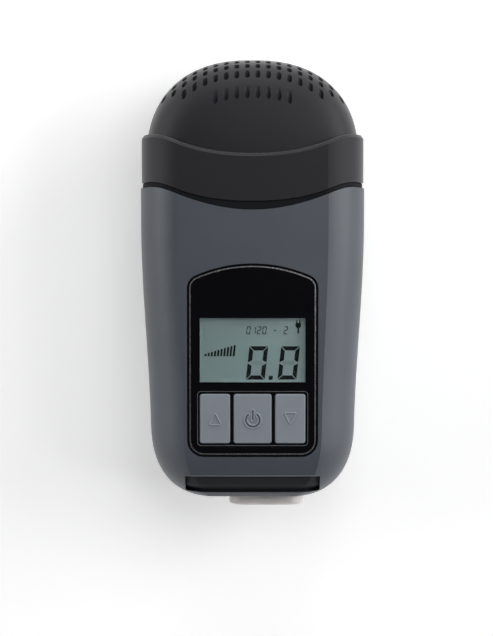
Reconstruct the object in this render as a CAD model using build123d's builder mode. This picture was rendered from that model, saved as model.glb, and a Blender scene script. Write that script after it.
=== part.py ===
"""Handheld sleep-therapy blower with a display, three keys and a lift-off filter cap.

Millimetres.  X runs across the display, Y from the air outlet to the filter cap, and Z out of
the display.  The machine lies on its back on four feet; the origin is under its middle.
"""
import os

from build123d import *

os.makedirs("parts", exist_ok=True)

# ---------------------------------------------------------------- overall form
body_width = 83.0           # the straight upper part of the grey shell
body_depth = 50.3           # back to front of the shell, without the feet
tail_width = 76.0           # where the flare starts
flare_start = 18.0          # heights are counted from the flat tail end
side_flat = 12.0            # upright band down the middle of each side
flat_share = 0.667          # share of the width that the flat front and back take
crown_radius = 780.0        # the front is very slightly barrelled
corner_height = 26.0        # tail corners, seen from the front
corner_width = 21.0
corner_power = 2.25         # 2 is an ellipse, more is squarer
nose_height = 20.0          # tail rounding of the front, seen from the side
nose_depth = 11.0
nose_power = 2.2
heel_height = 16.0          # tail rounding of the back
heel_depth = 7.0
heel_power = 2.0
tail_blunt = 1.0            # keeps a flat on the tail end
wall = 2.2
split_height = 15.0         # parting plane of the two shells, above the back
parting = 0.2               # the line that shows between them
fit = 0.15                  # play between fixed pieces
run = 0.3                   # play between pieces that move
over = 1.0                  # how far cutters reach past the faces that they cut

# Seams that curve like a smile across the front and back
seam_side = 113.1           # top of the grey shell at its sides
seam_drop = 6.5             # how much lower it is in the middle
collar_gap = 1.8            # shadow gap under the collar at its sides
collar_height = 17.45
collar_drop = 5.1
collar_top_drop = 5.3
seam_rise = 1.4             # small wave beside each corner
rise_inset = 7.0
shoulder_inset = 15.0
shoulder_drop = 1.15

# Filter cap
collar_inset = 0.35
collar_wall = 1.65
collar_lap = 0.8            # the collar's rim above the dome's skirt, in the middle
collar_edge = 1.0           # bevel of its upper rim
dome_height = 34.85
dome_side_step = 1.8        # from the collar's face in to the dome
dome_front_step = 2.2
dome_wall = 2.0
dome_squareness = 0.85      # 0.55 is an ellipse, 1 a rectangle
dome_roundness = 0.57
dome_side_profile = (2.2, 0.42)     # powers of the curve seen from the front
dome_front_profile = (2.65, 0.377)  # and seen from the side
dome_stations = 8
dome_tip = 0.05             # the smallest outline, which caps the top
vent_radius = 0.88
vents_across = 19.5         # pitches in the dome's width
vent_rows = ((0.5, 18), (1.5, 18), (2.5, 16), (3.5, 14), (4.5, 8))  # pitches off, vents
filter_thickness = 7.2

# Inlet bulkhead and the neck that the cap pushes onto
neck_wall = 1.8
bulkhead_drop = 11.2        # from the shell's top at its sides
flare_margin = 1.0          # from the end of the flare to the bulkhead
flange_height = 2.0
flange_bite = 1.2           # how far the flange sits into the shell wall
shoulder_face_inset = 0.75  # dark ring of the neck that shows in the seam
web_thickness = 2.0
web_slot_width = 3.6
web_slot_pitch = 6.0
web_slot_count = 9
web_slot_margin = 4.0
gasket_height = 2.4
gasket_drop = 3.5
gasket_depth = 1.1
gasket_play = 0.15

# Front panel
panel_width = 47.8
panel_low = 15.85
panel_header = 19.85        # from the window to the panel's top
panel_top_radius = 52.0
panel_shoulder_radius = 5.0
panel_corner_radius = 6.0
panel_thickness = 2.25
panel_sink = 0.1            # below the shell's front
seat_thickness = 2.0
seat_margin = 2.2
ledge = 1.4
bead_inset = 0.75
bead_width = 0.45
bead_depth = 0.5
bead_proud = 0.08

# Display
window_side = 4.55          # from the window to the panel's sides
window_length = 23.7
window_gap = 4.35           # from the keys to the window
lcd_border = 1.8
lcd_thickness = 2.1
window_play = 0.05

# Keys
power_key_width = 13.8
key_side = 4.6              # from the keys to the panel's sides
key_gap = 1.4
key_rise = 4.95             # from the panel's low edge to the keys
key_length = 18.15
key_margin = 1.2
key_corner = 0.9
key_edge = 0.35
key_depth = 4.1
key_flange = 0.5            # between neighbouring keys
key_catch = 1.8             # above and below them, under the panel
key_flange_thickness = 1.0
key_proud = 0.1
key_recess = 0.6            # shallow tray round the keys
key_recess_corner = 1.6
key_recess_slope = 27.0
key_travel = 0.6
membrane_thickness = 0.8
membrane_dome_radius = 3.4
membrane_taper = 30.0

# Main board
board_thickness = 1.6
board_width = 54.0
board_gap = 0.6             # to the bosses of the case screws
board_corner = 3.0
board_drop = 5.3            # front face of the board, below the panel's underside
board_screw_inset = 2.8
board_boss_radius = 2.4
board_screw_radius = 0.9
board_screw_length = 5.5
board_head_radius = 1.7
board_head_height = 1.3

# Case screws
tail_screw_half_spacing = 27.0
tail_screw_height = 14.0
top_screw_inset = 10.5      # from the side of the body
top_screw_drop = 7.0        # from the bulkhead
case_boss_radius = 3.4
case_column_radius = 4.2
case_screw_radius = 1.4
case_head_radius = 2.7
case_head_height = 2.0
counterbore_depth = 5.0
case_thread_length = 8.0
tongue_height = 2.5
tongue_thickness = 1.0

# Feet
foot_height = 1.0
foot_radius = 4.0
foot_sink = 0.6
foot_edge = 0.4
foot_half_spacing = 18.0
tail_foot_height = 22.0
top_foot_drop = 8.0         # from the bulkhead

# Latch slot on the tail
latch_low = 1.8
latch_high = 8.8
latch_width = 49.8
latch_depth = 1.6
latch_sink = 1.0
latch_corner = 0.6

# Air outlet
outlet_x = 5.3
outlet_radius = 11.0
outlet_length = 18.0
outlet_recess = 2.0         # the port's rim inside the seal's mouth
mouth_play = 1.0            # the seal's mouth is wider than the port's bore
port_wall = 1.5
seal_size = 28.0
seal_corner = 6.0
seal_proud = 4.3
seal_lip = 1.2
seal_edge = 0.8
cone_length = 10.0
spigot_length = 4.0
duct_wall = 1.4
duct_gap = 0.6              # between the duct and the blower's floor and cover
sleeve_wall = 1.4
spout_length = 26.0

# Blower
blower_x = -8.0
blower_height = 58.0        # of its axis, above the tail
volute_radius = 20.5
volute_low = 14.0           # above the back
volute_depth = 16.5
volute_wall = 1.5
cover_thickness = 1.5
eye_radius = 8.0
impeller_play = 1.5         # to the volute's wall and floor
impeller_plate = 1.2
impeller_depth = 11.0
hub_radius = 4.5
hub_depth = 6.0
blade_count = 9
blade_thickness = 0.9
blade_root = 7.0
blade_bow = 14.0
blade_lag = 38.0
shaft_radius = 1.5
shaft_play = 0.03
bearing_radius = 4.0
bearing_height = 2.5
motor_radius = 12.5
motor_wall = 1.2
motor_floor = 1.2
motor_clearance = 1.0       # above the inside of the back
magnet_radius = 5.0
stator_inner = 5.6
stator_yoke = 2.0
stator_height = 4.0
stator_teeth = 6
tooth_width = 2.4
coil_height = 5.4
coil_width = 4.0
coil_gap = 0.4
ear_overhang = 3.7          # from the volute to the middle of an ear
ear_radius = 4.0
ear_thickness = 1.5
ear_angles = (20.0, 140.0, 260.0)
bush_radius = 3.3
bush_neck = 2.2
bush_foot = 2.0
bush_cap = 1.5
mount_boss_radius = 3.2
mount_screw_radius = 1.0
mount_head_radius = 2.0
mount_head_height = 1.2
mount_screw_bite = 6.0

# Sound-absorbing foam
foam_thickness = 8.0
foam_gap = 0.5              # to the bulkhead
foam_side_gap = 1.5         # to the screw columns
foam_channel = 9.0
foam_play = 0.3

# Power inlet board
socket_x = -16.5
jack_size = 9.0
jack_length = 12.0
jack_barrel = 4.1
jack_bore = 2.9
jack_bore_depth = 8.5
jack_pin = 1.0
usb_width = 7.6
usb_thickness = 2.8
usb_length = 6.0
usb_shell = 0.4
usb_tongue = 0.7
usb_tongue_width = 5.2
socket_recess = 0.3
jack_pin_recess = 0.6
power_board_gap = 0.8
power_board_z = 22.6
power_board_width = 11.6
power_board_length = 22.0
power_post_radius = 2.2
power_post_height = 19.5
power_post_half_spacing = 3.4
stake_radius = 0.9
stake_head = 1.6
stake_head_height = 0.8

# Parts on the main board
chip_x = 14.0
chip_spacing = 16.0
chip_size = 9.0
chip_height = 1.2
driver_size = 6.5
sensor_size = 7.0
sensor_height = 2.6
nipple_radius = 1.1
nipple_length = 2.0
sensor_reach = 7.0          # from the spout's end to the pressure tap
tap_gap = 0.45              # between the tap and the sensor's nipple
tube_grip = 0.8             # how far the tube covers the tap
tube_wall = 0.8
tube_play = 0.05

# Where the outline is drawn
tail_shares = (0.0, 0.08, 0.19, 0.35, 0.54, 0.77, 1.0)      # of the rounded corner
flare_shares = (0.0, 0.31, 0.65, 1.0)                       # from there to the flare's end

# ---------------------------------------------------------------- levels that follow
half_depth = body_depth / 2
z_back = foot_height
z_mid = z_back + half_depth
z_front = z_back + body_depth
z_split = z_back + split_height
bulkhead_low = seam_side - bulkhead_drop
flare_end = bulkhead_low - flare_margin
flare_length = flare_end - corner_height
tail_heights = [share * corner_height for share in tail_shares]
flare_heights = [corner_height + share * flare_length for share in flare_shares]

collar_low = seam_side + collar_gap
collar_high = collar_low + collar_height
skirt_low = collar_high - collar_top_drop - collar_lap
body_length = skirt_low + dome_height
total_length = seal_proud + body_length
beyond = total_length       # long enough to cut right through
y_tail = seal_proud - total_length / 2
y_top = total_length / 2
dome_width = body_width - 2 * (collar_inset + dome_side_step)
dome_depth = body_depth - 2 * (collar_inset + dome_front_step)
vent_pitch = dome_width / vents_across
neck_high = skirt_low - run
filter_low = skirt_low
web_low = neck_high - web_thickness

key_low = panel_low + key_rise
window_low = key_low + key_length + window_gap
window_high = window_low + window_length
panel_high = window_high + panel_header
window_width = panel_width - 2 * window_side
key_span = panel_width - 2 * key_side
side_key_width = (key_span - power_key_width) / 2 - key_gap
key_widths = (side_key_width, power_key_width, side_key_width)

panel_top = z_front - panel_sink
seat_top = panel_top - panel_thickness
lcd_top = seat_top - fit
flange_top = seat_top - fit
key_top = panel_top + key_proud
board_top = seat_top - board_drop
board_back = board_top - board_thickness
key_bottom = key_top - key_depth
membrane_top = board_top + membrane_thickness
key_y = y_tail + key_low + key_length / 2

neck_inset = collar_inset + collar_wall + run
groove_inset = wall - flange_bite - fit
z_inside = z_back + wall

blower_y = y_tail + blower_height
z_volute = z_back + volute_low
z_volute_floor = z_volute + volute_wall
z_cover = z_volute + volute_depth
z_impeller = z_volute_floor + impeller_play
z_motor = z_inside + motor_clearance
z_bearing_low = z_motor + motor_floor
z_bearing_high = z_volute_floor - bearing_height
z_rotor = (z_bearing_low + bearing_height + z_bearing_high) / 2
z_bush = z_volute - bush_foot
bush_height = bush_foot + ear_thickness + bush_cap
outlet_z = (z_volute_floor + z_cover) / 2
duct_radius = (z_cover - z_volute_floor) / 2 - duct_gap
duct_bore = duct_radius - duct_wall
impeller_radius = volute_radius - volute_wall - impeller_play
ear_reach = volute_radius + ear_overhang
seal_length = seal_proud + wall + fit + seal_lip
y_port = y_tail - seal_proud + outlet_recess
y_cone = y_port + outlet_length
y_spigot = y_cone + cone_length
y_spout = blower_y - spout_length
y_sensor = y_spout + sensor_reach

z_power_top = power_board_z + board_thickness
jack_z = z_power_top + jack_size / 2
usb_z = power_board_z - usb_thickness / 2
y_socket = y_tail + wall + fit


# ---------------------------------------------------------------- the shell's outline
def smooth_step(share):
    """0 to 1 with level ends."""
    share = min(max(share, 0.0), 1.0)
    return share * share * (3 - 2 * share)


def drawn_in(height, reach, depth, power):
    """How far a rounded tail corner lies inside the full width at a height."""
    if height >= reach:
        return 0.0
    share = (reach - height) / (reach + tail_blunt)
    return depth * (1 - (1 - share**power) ** (1 / power))


def half_width_at(height, inset=0.0):
    """Half width at a height above the tail, for a form drawn in by inset."""
    flare = smooth_step((height - flare_start) / (flare_end - flare_start))
    full = tail_width / 2 + (body_width - tail_width) / 2 * flare
    corner = drawn_in(
        height - inset, corner_height - inset, corner_width - inset, corner_power
    )
    return full - inset - corner


def section(height, inset=0.0):
    """Cross-section of the body at a height above the tail."""
    width = half_width_at(height, inset)
    nose = drawn_in(height - inset, nose_height - inset, nose_depth - inset, nose_power)
    heel = drawn_in(height - inset, heel_height - inset, heel_depth - inset, heel_power)
    front = half_depth - inset - nose
    back = half_depth - inset - heel
    side = side_flat / 2 * (front + back) / body_depth
    flat = flat_share * width
    crown = flat**2 / (2 * crown_radius)
    plane = Plane((0, y_tail + height, z_mid), x_dir=(1, 0, 0), z_dir=(0, -1, 0))
    with BuildSketch(plane) as outline:
        with BuildLine():
            ThreePointArc((-flat, front - crown), (0, front), (flat, front - crown))
            corner_arc((flat, front - crown), (width, side))
            Line((width, side), (width, -side))
            corner_arc((flat, -back), (width, -side))
            Line((flat, -back), (-flat, -back))
            corner_arc((-flat, -back), (-width, -side))
            Line((-width, -side), (-width, side))
            corner_arc((-flat, front - crown), (-width, side))
        make_face()
    return outline.sketch


def corner_arc(flat_end, side_end):
    """Arc from the flat to the side that meets the side squarely."""
    across = abs(side_end[0] - flat_end[0])
    down = abs(side_end[1] - flat_end[1])
    radius = (across**2 + down**2) / (2 * across)
    outward = 1 if side_end[0] > 0 else -1
    upward = 1 if flat_end[1] > 0 else -1
    half = 0.5 * (1 - (radius - across) / radius)
    cos_half = (1 - half) ** 0.5
    sin_half = half**0.5
    centre = side_end[0] - outward * radius
    middle = (centre + outward * radius * cos_half, side_end[1] + upward * radius * sin_half)
    return ThreePointArc(flat_end, middle, side_end)


def smooth_form():
    """Solid of the whole body: a rounded tail, a gentle flare and a straight upper part."""
    with BuildPart() as form:
        for heights in (tail_heights, flare_heights):
            loft([section(height) for height in heights])
        extrude(section(flare_end), amount=-beyond)
    return form.part


def hollow_form(inset):
    """Simpler solid of the body drawn in by inset, for what lies inside."""
    heights = [inset] + tail_heights[2:] + flare_heights[1:]
    with BuildPart() as form:
        loft([section(height, inset) for height in heights], ruled=True)
        extrude(section(flare_end, inset), amount=-beyond)
    return form.part


def band(low, high, inset):
    """Solid length of the straight upper body between two heights."""
    with BuildPart() as length:
        extrude(section(low, inset), amount=low - high)
    return length.part


def seam(height, drop, far):
    """Block between a smile-shaped seam and the level far, right through the body."""
    side = body_width / 2
    low = y_tail + height
    with BuildPart() as block:
        with BuildSketch(Plane.XY.offset(-beyond)):
            with BuildLine():
                smile = Spline(
                    (-side - over, low),
                    (rise_inset - side, low + seam_rise),
                    (shoulder_inset - side, low - shoulder_drop),
                    (0, low - drop),
                    (side - shoulder_inset, low - shoulder_drop),
                    (side - rise_inset, low + seam_rise),
                    (side + over, low),
                )
                Polyline(smile @ 1, (side + over, far), (-side - over, far), smile @ 0)
            make_face()
        extrude(amount=2 * beyond)
    return block.part


def panel_face(z, margin=0.0):
    """Outline of the front panel, widened by margin."""
    half = panel_width / 2
    high = y_tail + panel_high
    low = y_tail + panel_low
    shoulder = high - panel_top_radius + (panel_top_radius**2 - half**2) ** 0.5
    with BuildSketch(Plane.XY.offset(z)) as face:
        with BuildLine():
            ThreePointArc((-half, shoulder), (0, high), (half, shoulder))
            Polyline((half, shoulder), (half, low), (-half, low), (-half, shoulder))
        make_face()
        corners = face.vertices().group_by(Axis.Y)
        fillet(corners[0], panel_corner_radius)
        fillet(face.vertices().sort_by(Axis.Y)[-2:], panel_shoulder_radius)
        if margin:
            offset(amount=margin, kind=Kind.INTERSECTION, mode=Mode.REPLACE)
    return face.sketch


def crowned_block(top):
    """Everything below a surface barrelled like the shell's front, with its crest at top."""
    half = body_width / 2
    edge = top - half**2 / (2 * crown_radius)
    with BuildPart() as block:
        with BuildSketch(Plane.XZ.offset(-beyond)):
            with BuildLine():
                ThreePointArc((-half, edge), (0, top), (half, edge))
                Polyline((half, edge), (half, -beyond), (-half, -beyond), (-half, edge))
            make_face()
        extrude(amount=2 * beyond)
    return block.part


def dome_curve(share, profile):
    """How much of its full size the dome has at a share of its height below its top."""
    inner, outer = profile
    return (1 - (1 - share) ** inner) ** outer


def dome_section(share, inset=0.0):
    """Half width and half depth of the dome at a share of its height below its top."""
    width = (dome_width / 2 - inset) * dome_curve(share, dome_side_profile)
    depth = (dome_depth / 2 - inset) * dome_curve(share, dome_front_profile)
    return width, depth


def dome_square(share):
    """Squareness of the dome's outline at a share of its height below its top."""
    return dome_roundness + (dome_squareness - dome_roundness) * share**0.5


def squircle(plane, width, depth, squareness):
    """Closed outline of four curves, between an ellipse and a rectangle."""
    with BuildSketch(plane) as outline:
        with BuildLine():
            Bezier((width, 0), (width, squareness * depth), (squareness * width, depth), (0, depth))
            mirror(about=Plane.YZ)
            mirror(about=Plane.XZ)
        make_face()
    return outline.sketch


def level(height):
    """Plane across the body at a height above the tail, facing the tail."""
    return Plane((0, y_tail + height, z_mid), x_dir=(1, 0, 0), z_dir=(0, -1, 0))


def dome_form(inset=0.0):
    """Solid of the dome, drawn in by inset at the sides and the top."""
    height = dome_height - inset
    sections = []
    for station in range(dome_stations + 1):
        share = max(station / dome_stations, dome_tip) ** 2
        width, depth = dome_section(share, inset)
        place = level(skirt_low + height * (1 - share) / (1 - dome_tip**2))
        sections.append(squircle(place, width, depth, dome_square(share)))
    with BuildPart() as form:
        loft(sections)
    return form.part


def save(piece, label):
    """Label a finished piece and write its STEP file."""
    piece.label = label
    export_step(piece, f"parts/{label}.step")


# ---------------------------------------------------------------- shared solids
outer_form = smooth_form()
cavity = hollow_form(wall)
core = hollow_form(wall / 2)        # ends ribs and bosses inside the wall

top_screw_half_spacing = body_width / 2 - top_screw_inset
case_spots = [
    (side * half_spacing, y_tail + height)
    for half_spacing, height in (
        (top_screw_half_spacing, bulkhead_low - top_screw_drop),
        (tail_screw_half_spacing, tail_screw_height),
    )
    for side in (-1, 1)
]
board_low = tail_screw_height + case_boss_radius + board_gap
board_high = bulkhead_low - top_screw_drop - case_boss_radius - board_gap
board_spots = [
    (side * (board_width / 2 - board_screw_inset), y_tail + height)
    for height in (board_low + board_screw_inset, board_high - board_screw_inset)
    for side in (-1, 1)
]
post_spots = [
    (socket_x + side * power_post_half_spacing, y_tail + power_post_height) for side in (-1, 1)
]
foot_spots = [
    (side * foot_half_spacing, y_tail + height)
    for height in (tail_foot_height, bulkhead_low - top_foot_drop)
    for side in (-1, 1)
]
ear_spots = [
    (spot.position.X + blower_x, spot.position.Y + blower_y)
    for angle in ear_angles
    for spot in PolarLocations(ear_reach, 1, start_angle=angle)
]

with BuildPart() as hull:
    add(outer_form)
    add(seam(seam_side, seam_drop, 2 * beyond), mode=Mode.SUBTRACT)
    add(cavity, mode=Mode.SUBTRACT)

with BuildPart() as tail_openings:
    with BuildSketch(level(2 * wall)):
        with Locations((outlet_x, outlet_z - z_mid)):
            RectangleRounded(seal_size + 2 * fit, seal_size + 2 * fit, seal_corner)
        with Locations((socket_x, jack_z - z_mid)):
            Circle(jack_barrel + fit)
        with Locations((socket_x, usb_z - z_mid)):
            RectangleRounded(usb_width + 2 * fit, usb_thickness + 2 * fit, usb_shell)
    extrude(amount=4 * wall)

with BuildPart() as tongue:
    add(hollow_form(wall - tongue_thickness))
    add(cavity, mode=Mode.SUBTRACT)
    split(bisect_by=Plane.XY.offset(z_split - tongue_height), keep=Keep.TOP)
    split(bisect_by=Plane.XY.offset(z_split + tongue_height), keep=Keep.BOTTOM)
    split(bisect_by=level(flare_end), keep=Keep.TOP)

with BuildPart() as tongue_groove:
    add(hollow_form(wall - tongue_thickness - fit))
    split(bisect_by=Plane.XY.offset(z_split + tongue_height + fit), keep=Keep.BOTTOM)
    split(bisect_by=level(flare_end + fit), keep=Keep.TOP)

with BuildPart() as front_ribs:
    with BuildSketch(Plane.XY.offset(z_split + tongue_height + fit)):
        with Locations(case_spots):
            Circle(case_boss_radius)
    extrude(amount=body_depth)
    with BuildSketch(Plane.XY.offset(board_top)):
        with Locations(board_spots):
            Circle(board_boss_radius)
    extrude(amount=body_depth)
    extrude(panel_face(seat_top - seat_thickness, seat_margin), amount=seat_thickness + run)
    add(core, mode=Mode.INTERSECT)

with BuildPart() as rear_ribs:
    with BuildSketch(Plane.XY):
        with Locations(case_spots):
            Circle(case_column_radius)
    extrude(amount=z_split + tongue_height)
    with BuildSketch(Plane.XY):
        with Locations(ear_spots):
            Circle(mount_boss_radius)
    extrude(amount=z_bush)
    with BuildSketch(Plane.XY):
        with Locations(post_spots):
            Circle(power_post_radius)
    extrude(amount=power_board_z)
    with BuildSketch(Plane.XY):
        with Locations(foot_spots):
            Circle(foot_radius + wall)
    extrude(amount=z_inside + foot_sink)
    add(core, mode=Mode.INTERSECT)

with BuildPart() as latch_pocket:
    with BuildSketch(Plane.XY.offset(z_mid)):
        with Locations((0, y_tail + (latch_low + latch_high) / 2)):
            RectangleRounded(latch_width, latch_high - latch_low, latch_corner)
    extrude(amount=body_depth)
    add(hollow_form(latch_depth), mode=Mode.SUBTRACT)


# ---------------------------------------------------------------- grey shells
with BuildPart() as front_shell:
    add(hull.part)
    split(bisect_by=Plane.XY.offset(z_split + parting), keep=Keep.TOP)
    add(tongue_groove.part, mode=Mode.SUBTRACT)
    add(front_ribs.part)
    extrude(panel_face(seat_top, fit), amount=half_depth, mode=Mode.SUBTRACT)
    extrude(panel_face(seat_top - seat_thickness, -ledge), amount=half_depth, mode=Mode.SUBTRACT)
    with BuildSketch(Plane.XY.offset(z_split)):
        with Locations(case_spots):
            Circle(case_screw_radius + shaft_play)
    extrude(amount=tongue_height + case_thread_length + run, mode=Mode.SUBTRACT)
    with BuildSketch(Plane.XY.offset(board_top)):
        with Locations(board_spots):
            Circle(board_screw_radius + shaft_play)
    extrude(amount=board_screw_length - board_thickness + run, mode=Mode.SUBTRACT)
    add(band(bulkhead_low - fit, bulkhead_low + flange_height + fit, groove_inset),
        mode=Mode.SUBTRACT)
    add(tail_openings.part, mode=Mode.SUBTRACT)
    add(latch_pocket.part, mode=Mode.SUBTRACT)
save(front_shell.part, "front_shell")

with BuildPart() as rear_shell:
    add(hull.part)
    split(bisect_by=Plane.XY.offset(z_split), keep=Keep.BOTTOM)
    add(tongue.part)
    add(rear_ribs.part)
    with BuildSketch(Plane.XY):
        with Locations(case_spots):
            Circle(case_head_radius + run)
    extrude(amount=z_back + counterbore_depth, mode=Mode.SUBTRACT)
    with BuildSketch(Plane.XY):
        with Locations(case_spots):
            Circle(case_screw_radius + fit)
    extrude(amount=body_depth / 2, mode=Mode.SUBTRACT)
    with BuildSketch(Plane.XY):
        with Locations(foot_spots):
            Circle(foot_radius + fit)
    extrude(amount=z_back + foot_sink, mode=Mode.SUBTRACT)
    with BuildSketch(Plane.XY.offset(z_bush)):
        with Locations(ear_spots):
            Circle(mount_screw_radius + shaft_play)
    extrude(amount=-mount_screw_bite - run, mode=Mode.SUBTRACT)
    with BuildSketch(Plane.XY.offset(power_board_z)):
        with Locations(post_spots):
            Circle(stake_radius)
    extrude(amount=board_thickness)
    with BuildSketch(Plane.XY.offset(z_power_top)):
        with Locations(post_spots):
            Circle(stake_head)
    extrude(amount=stake_head_height)
    add(band(bulkhead_low - fit, bulkhead_low + flange_height + fit, groove_inset),
        mode=Mode.SUBTRACT)
    add(tail_openings.part, mode=Mode.SUBTRACT)
save(rear_shell.part, "rear_shell")

for number, spot in enumerate(foot_spots, 1):
    with BuildPart() as foot:
        with BuildSketch(Plane.XY):
            with Locations(spot):
                Circle(foot_radius)
        extrude(amount=foot_height + foot_sink)
        fillet(foot.edges().sort_by(Axis.Z)[0], foot_edge)
    save(foot.part, f"foot_{number}")

with BuildPart() as latch_plate:
    with BuildSketch(Plane.XY.offset(z_mid)):
        with Locations((0, y_tail + (latch_low + latch_high) / 2)):
            RectangleRounded(
                latch_width - 2 * fit, latch_high - latch_low - 2 * fit, latch_corner - fit
            )
    extrude(amount=body_depth)
    add(hollow_form(latch_depth), mode=Mode.SUBTRACT)
    add(hollow_form(latch_sink), mode=Mode.INTERSECT)
save(latch_plate.part, "latch_plate")

head_low = z_back + counterbore_depth - case_head_height
case_shank = z_split + tongue_height + case_thread_length - z_back - counterbore_depth
for number, spot in enumerate(case_spots, 1):
    with BuildPart() as case_screw:
        with BuildSketch(Plane.XY.offset(head_low)):
            with Locations(spot):
                Circle(case_head_radius)
        extrude(amount=case_head_height)
        with BuildSketch(Plane.XY.offset(head_low)):
            with Locations(spot):
                RegularPolygon(case_head_radius / 2, 6)
        extrude(amount=case_head_height / 2, mode=Mode.SUBTRACT)
        with BuildSketch(Plane.XY.offset(head_low + case_head_height)):
            with Locations(spot):
                Circle(case_screw_radius)
        extrude(amount=case_shank)
    save(case_screw.part, f"case_screw_{number}")


# ---------------------------------------------------------------- inlet bulkhead and neck
gasket_high = neck_high - gasket_drop
gasket_low = gasket_high - gasket_height
with BuildPart() as shoulder:
    add(band(bulkhead_low + flange_height, neck_high, shoulder_face_inset))
    add(seam(seam_side + fit, seam_drop, 2 * beyond), mode=Mode.INTERSECT)
    add(seam(collar_low - run, collar_drop, 2 * beyond), mode=Mode.SUBTRACT)

with BuildPart() as inlet_bulkhead:
    add(band(bulkhead_low, bulkhead_low + flange_height, wall - flange_bite))
    add(band(bulkhead_low, neck_high, neck_inset))
    add(shoulder.part)
    add(band(bulkhead_low - over, web_low, neck_inset + neck_wall), mode=Mode.SUBTRACT)
    with BuildSketch(level(web_low - over)):
        with GridLocations(web_slot_pitch, 1, web_slot_count, 1):
            Rectangle(web_slot_width, body_depth - 2 * (neck_inset + neck_wall + web_slot_margin))
    extrude(amount=-web_thickness - 2 * over, mode=Mode.SUBTRACT)
    add(band(gasket_low, gasket_high, 0), mode=Mode.SUBTRACT)
    add(band(gasket_low - over, gasket_high + over, neck_inset + gasket_depth))
    add(band(gasket_low - 2 * over, gasket_high + 2 * over, neck_inset + neck_wall),
        mode=Mode.SUBTRACT)
save(inlet_bulkhead.part, "inlet_bulkhead")

with BuildPart() as spigot_gasket:
    add(band(gasket_low, gasket_high, collar_inset + collar_wall + gasket_play))
    add(band(gasket_low, gasket_high, neck_inset + gasket_depth), mode=Mode.SUBTRACT)
save(spigot_gasket.part, "spigot_gasket")


# ---------------------------------------------------------------- filter cap
with BuildPart() as cap_dome:
    add(dome_form())
    add(dome_form(dome_wall), mode=Mode.SUBTRACT)
    for pitches, count in vent_rows:
        with BuildSketch(level(body_length)):
            with GridLocations(vent_pitch, 2 * pitches * vent_pitch, count, 2):
                Circle(vent_radius)
        extrude(amount=dome_height, mode=Mode.SUBTRACT)
save(cap_dome.part, "cap_dome")

with BuildPart() as cap_collar:
    add(band(flare_end, body_length, collar_inset))
    add(seam(collar_low, collar_drop, 2 * beyond), mode=Mode.INTERSECT)
    add(seam(collar_high, collar_top_drop, 2 * beyond), mode=Mode.SUBTRACT)
    chamfer(cap_collar.faces().sort_by(Axis.Y)[-1].edges(), collar_edge)
    add(band(flare_end, skirt_low, collar_inset + collar_wall), mode=Mode.SUBTRACT)
    add(dome_form(), mode=Mode.SUBTRACT)
save(cap_collar.part, "cap_collar")

filter_share = 1 - (filter_low + filter_thickness - skirt_low) / (dome_height - dome_wall)
filter_width, filter_depth = dome_section(filter_share, dome_wall + run)
with BuildPart() as inlet_filter:
    extrude(squircle(level(filter_low), filter_width, filter_depth, dome_square(filter_share)),
            amount=-filter_thickness)
save(inlet_filter.part, "inlet_filter")


# ---------------------------------------------------------------- front panel and display
key_centres = [
    sum(key_widths[:number]) + key_gap * number + width / 2 - key_span / 2
    for number, width in enumerate(key_widths)
]
window_middle = y_tail + (window_low + window_high) / 2
window_length = window_high - window_low
lcd_bottom = lcd_top - lcd_thickness


def slab(low, thickness, x, y, width, length, corner=0.0):
    """Flat block with its middle at x and y, with rounded corners where asked."""
    with BuildPart() as block:
        with BuildSketch(Plane.XY.offset(low)) as outline:
            with Locations((x, y)):
                Rectangle(width, length)
            if corner:
                fillet(outline.vertices(), corner)
        extrude(amount=thickness)
    return block.part


def bead_ring(top, bottom):
    """Ring just inside the panel's edge, between two barrelled surfaces."""
    with BuildPart() as ring:
        extrude(panel_face(seat_top, -bead_inset), amount=half_depth)
        extrude(panel_face(seat_top, -bead_inset - bead_width), amount=half_depth,
                mode=Mode.SUBTRACT)
        add(crowned_block(top), mode=Mode.INTERSECT)
        add(crowned_block(bottom), mode=Mode.SUBTRACT)
    return ring.part


with BuildPart() as display_bezel:
    extrude(panel_face(seat_top), amount=half_depth)
    add(crowned_block(panel_top), mode=Mode.INTERSECT)
    add(slab(seat_top, half_depth, 0, window_middle, window_width, window_length),
        mode=Mode.SUBTRACT)
    with BuildSketch(Plane.XY.offset(panel_top - key_recess)):
        with Locations((0, key_y)):
            RectangleRounded(key_span + 2 * key_margin, key_length + 2 * key_margin,
                             key_recess_corner)
    extrude(amount=2 * key_recess, taper=-key_recess_slope, mode=Mode.SUBTRACT)
    for centre, width in zip(key_centres, key_widths):
        add(slab(seat_top, half_depth, centre, key_y, width + 2 * run, key_length + 2 * run,
                 key_corner + run), mode=Mode.SUBTRACT)
    add(bead_ring(z_front, panel_top - bead_depth), mode=Mode.SUBTRACT)
save(display_bezel.part, "display_bezel")

save(bead_ring(panel_top + bead_proud, panel_top - bead_depth), "panel_trim")

with BuildPart() as display_lens:
    add(slab(seat_top, half_depth, 0, window_middle, window_width - 2 * window_play,
             window_length - 2 * window_play))
    add(crowned_block(panel_top), mode=Mode.INTERSECT)
save(display_lens.part, "display_lens")

with BuildPart() as lcd_glass:
    add(slab(lcd_bottom, lcd_thickness, 0, window_middle, window_width + 2 * lcd_border,
             window_length + 2 * lcd_border))
save(lcd_glass.part, "lcd_glass")

with BuildPart() as lcd_frame:
    add(slab(board_top, lcd_bottom - board_top, 0, window_middle,
             window_width + 2 * lcd_border, window_length + 2 * lcd_border))
    chamfer(lcd_frame.edges().filter_by(Axis.Z), lcd_border)
save(lcd_frame.part, "lcd_frame")


# ---------------------------------------------------------------- keys
key_names = ("up_key", "power_key", "down_key")
membrane_tip = key_bottom - key_travel - fit

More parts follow.
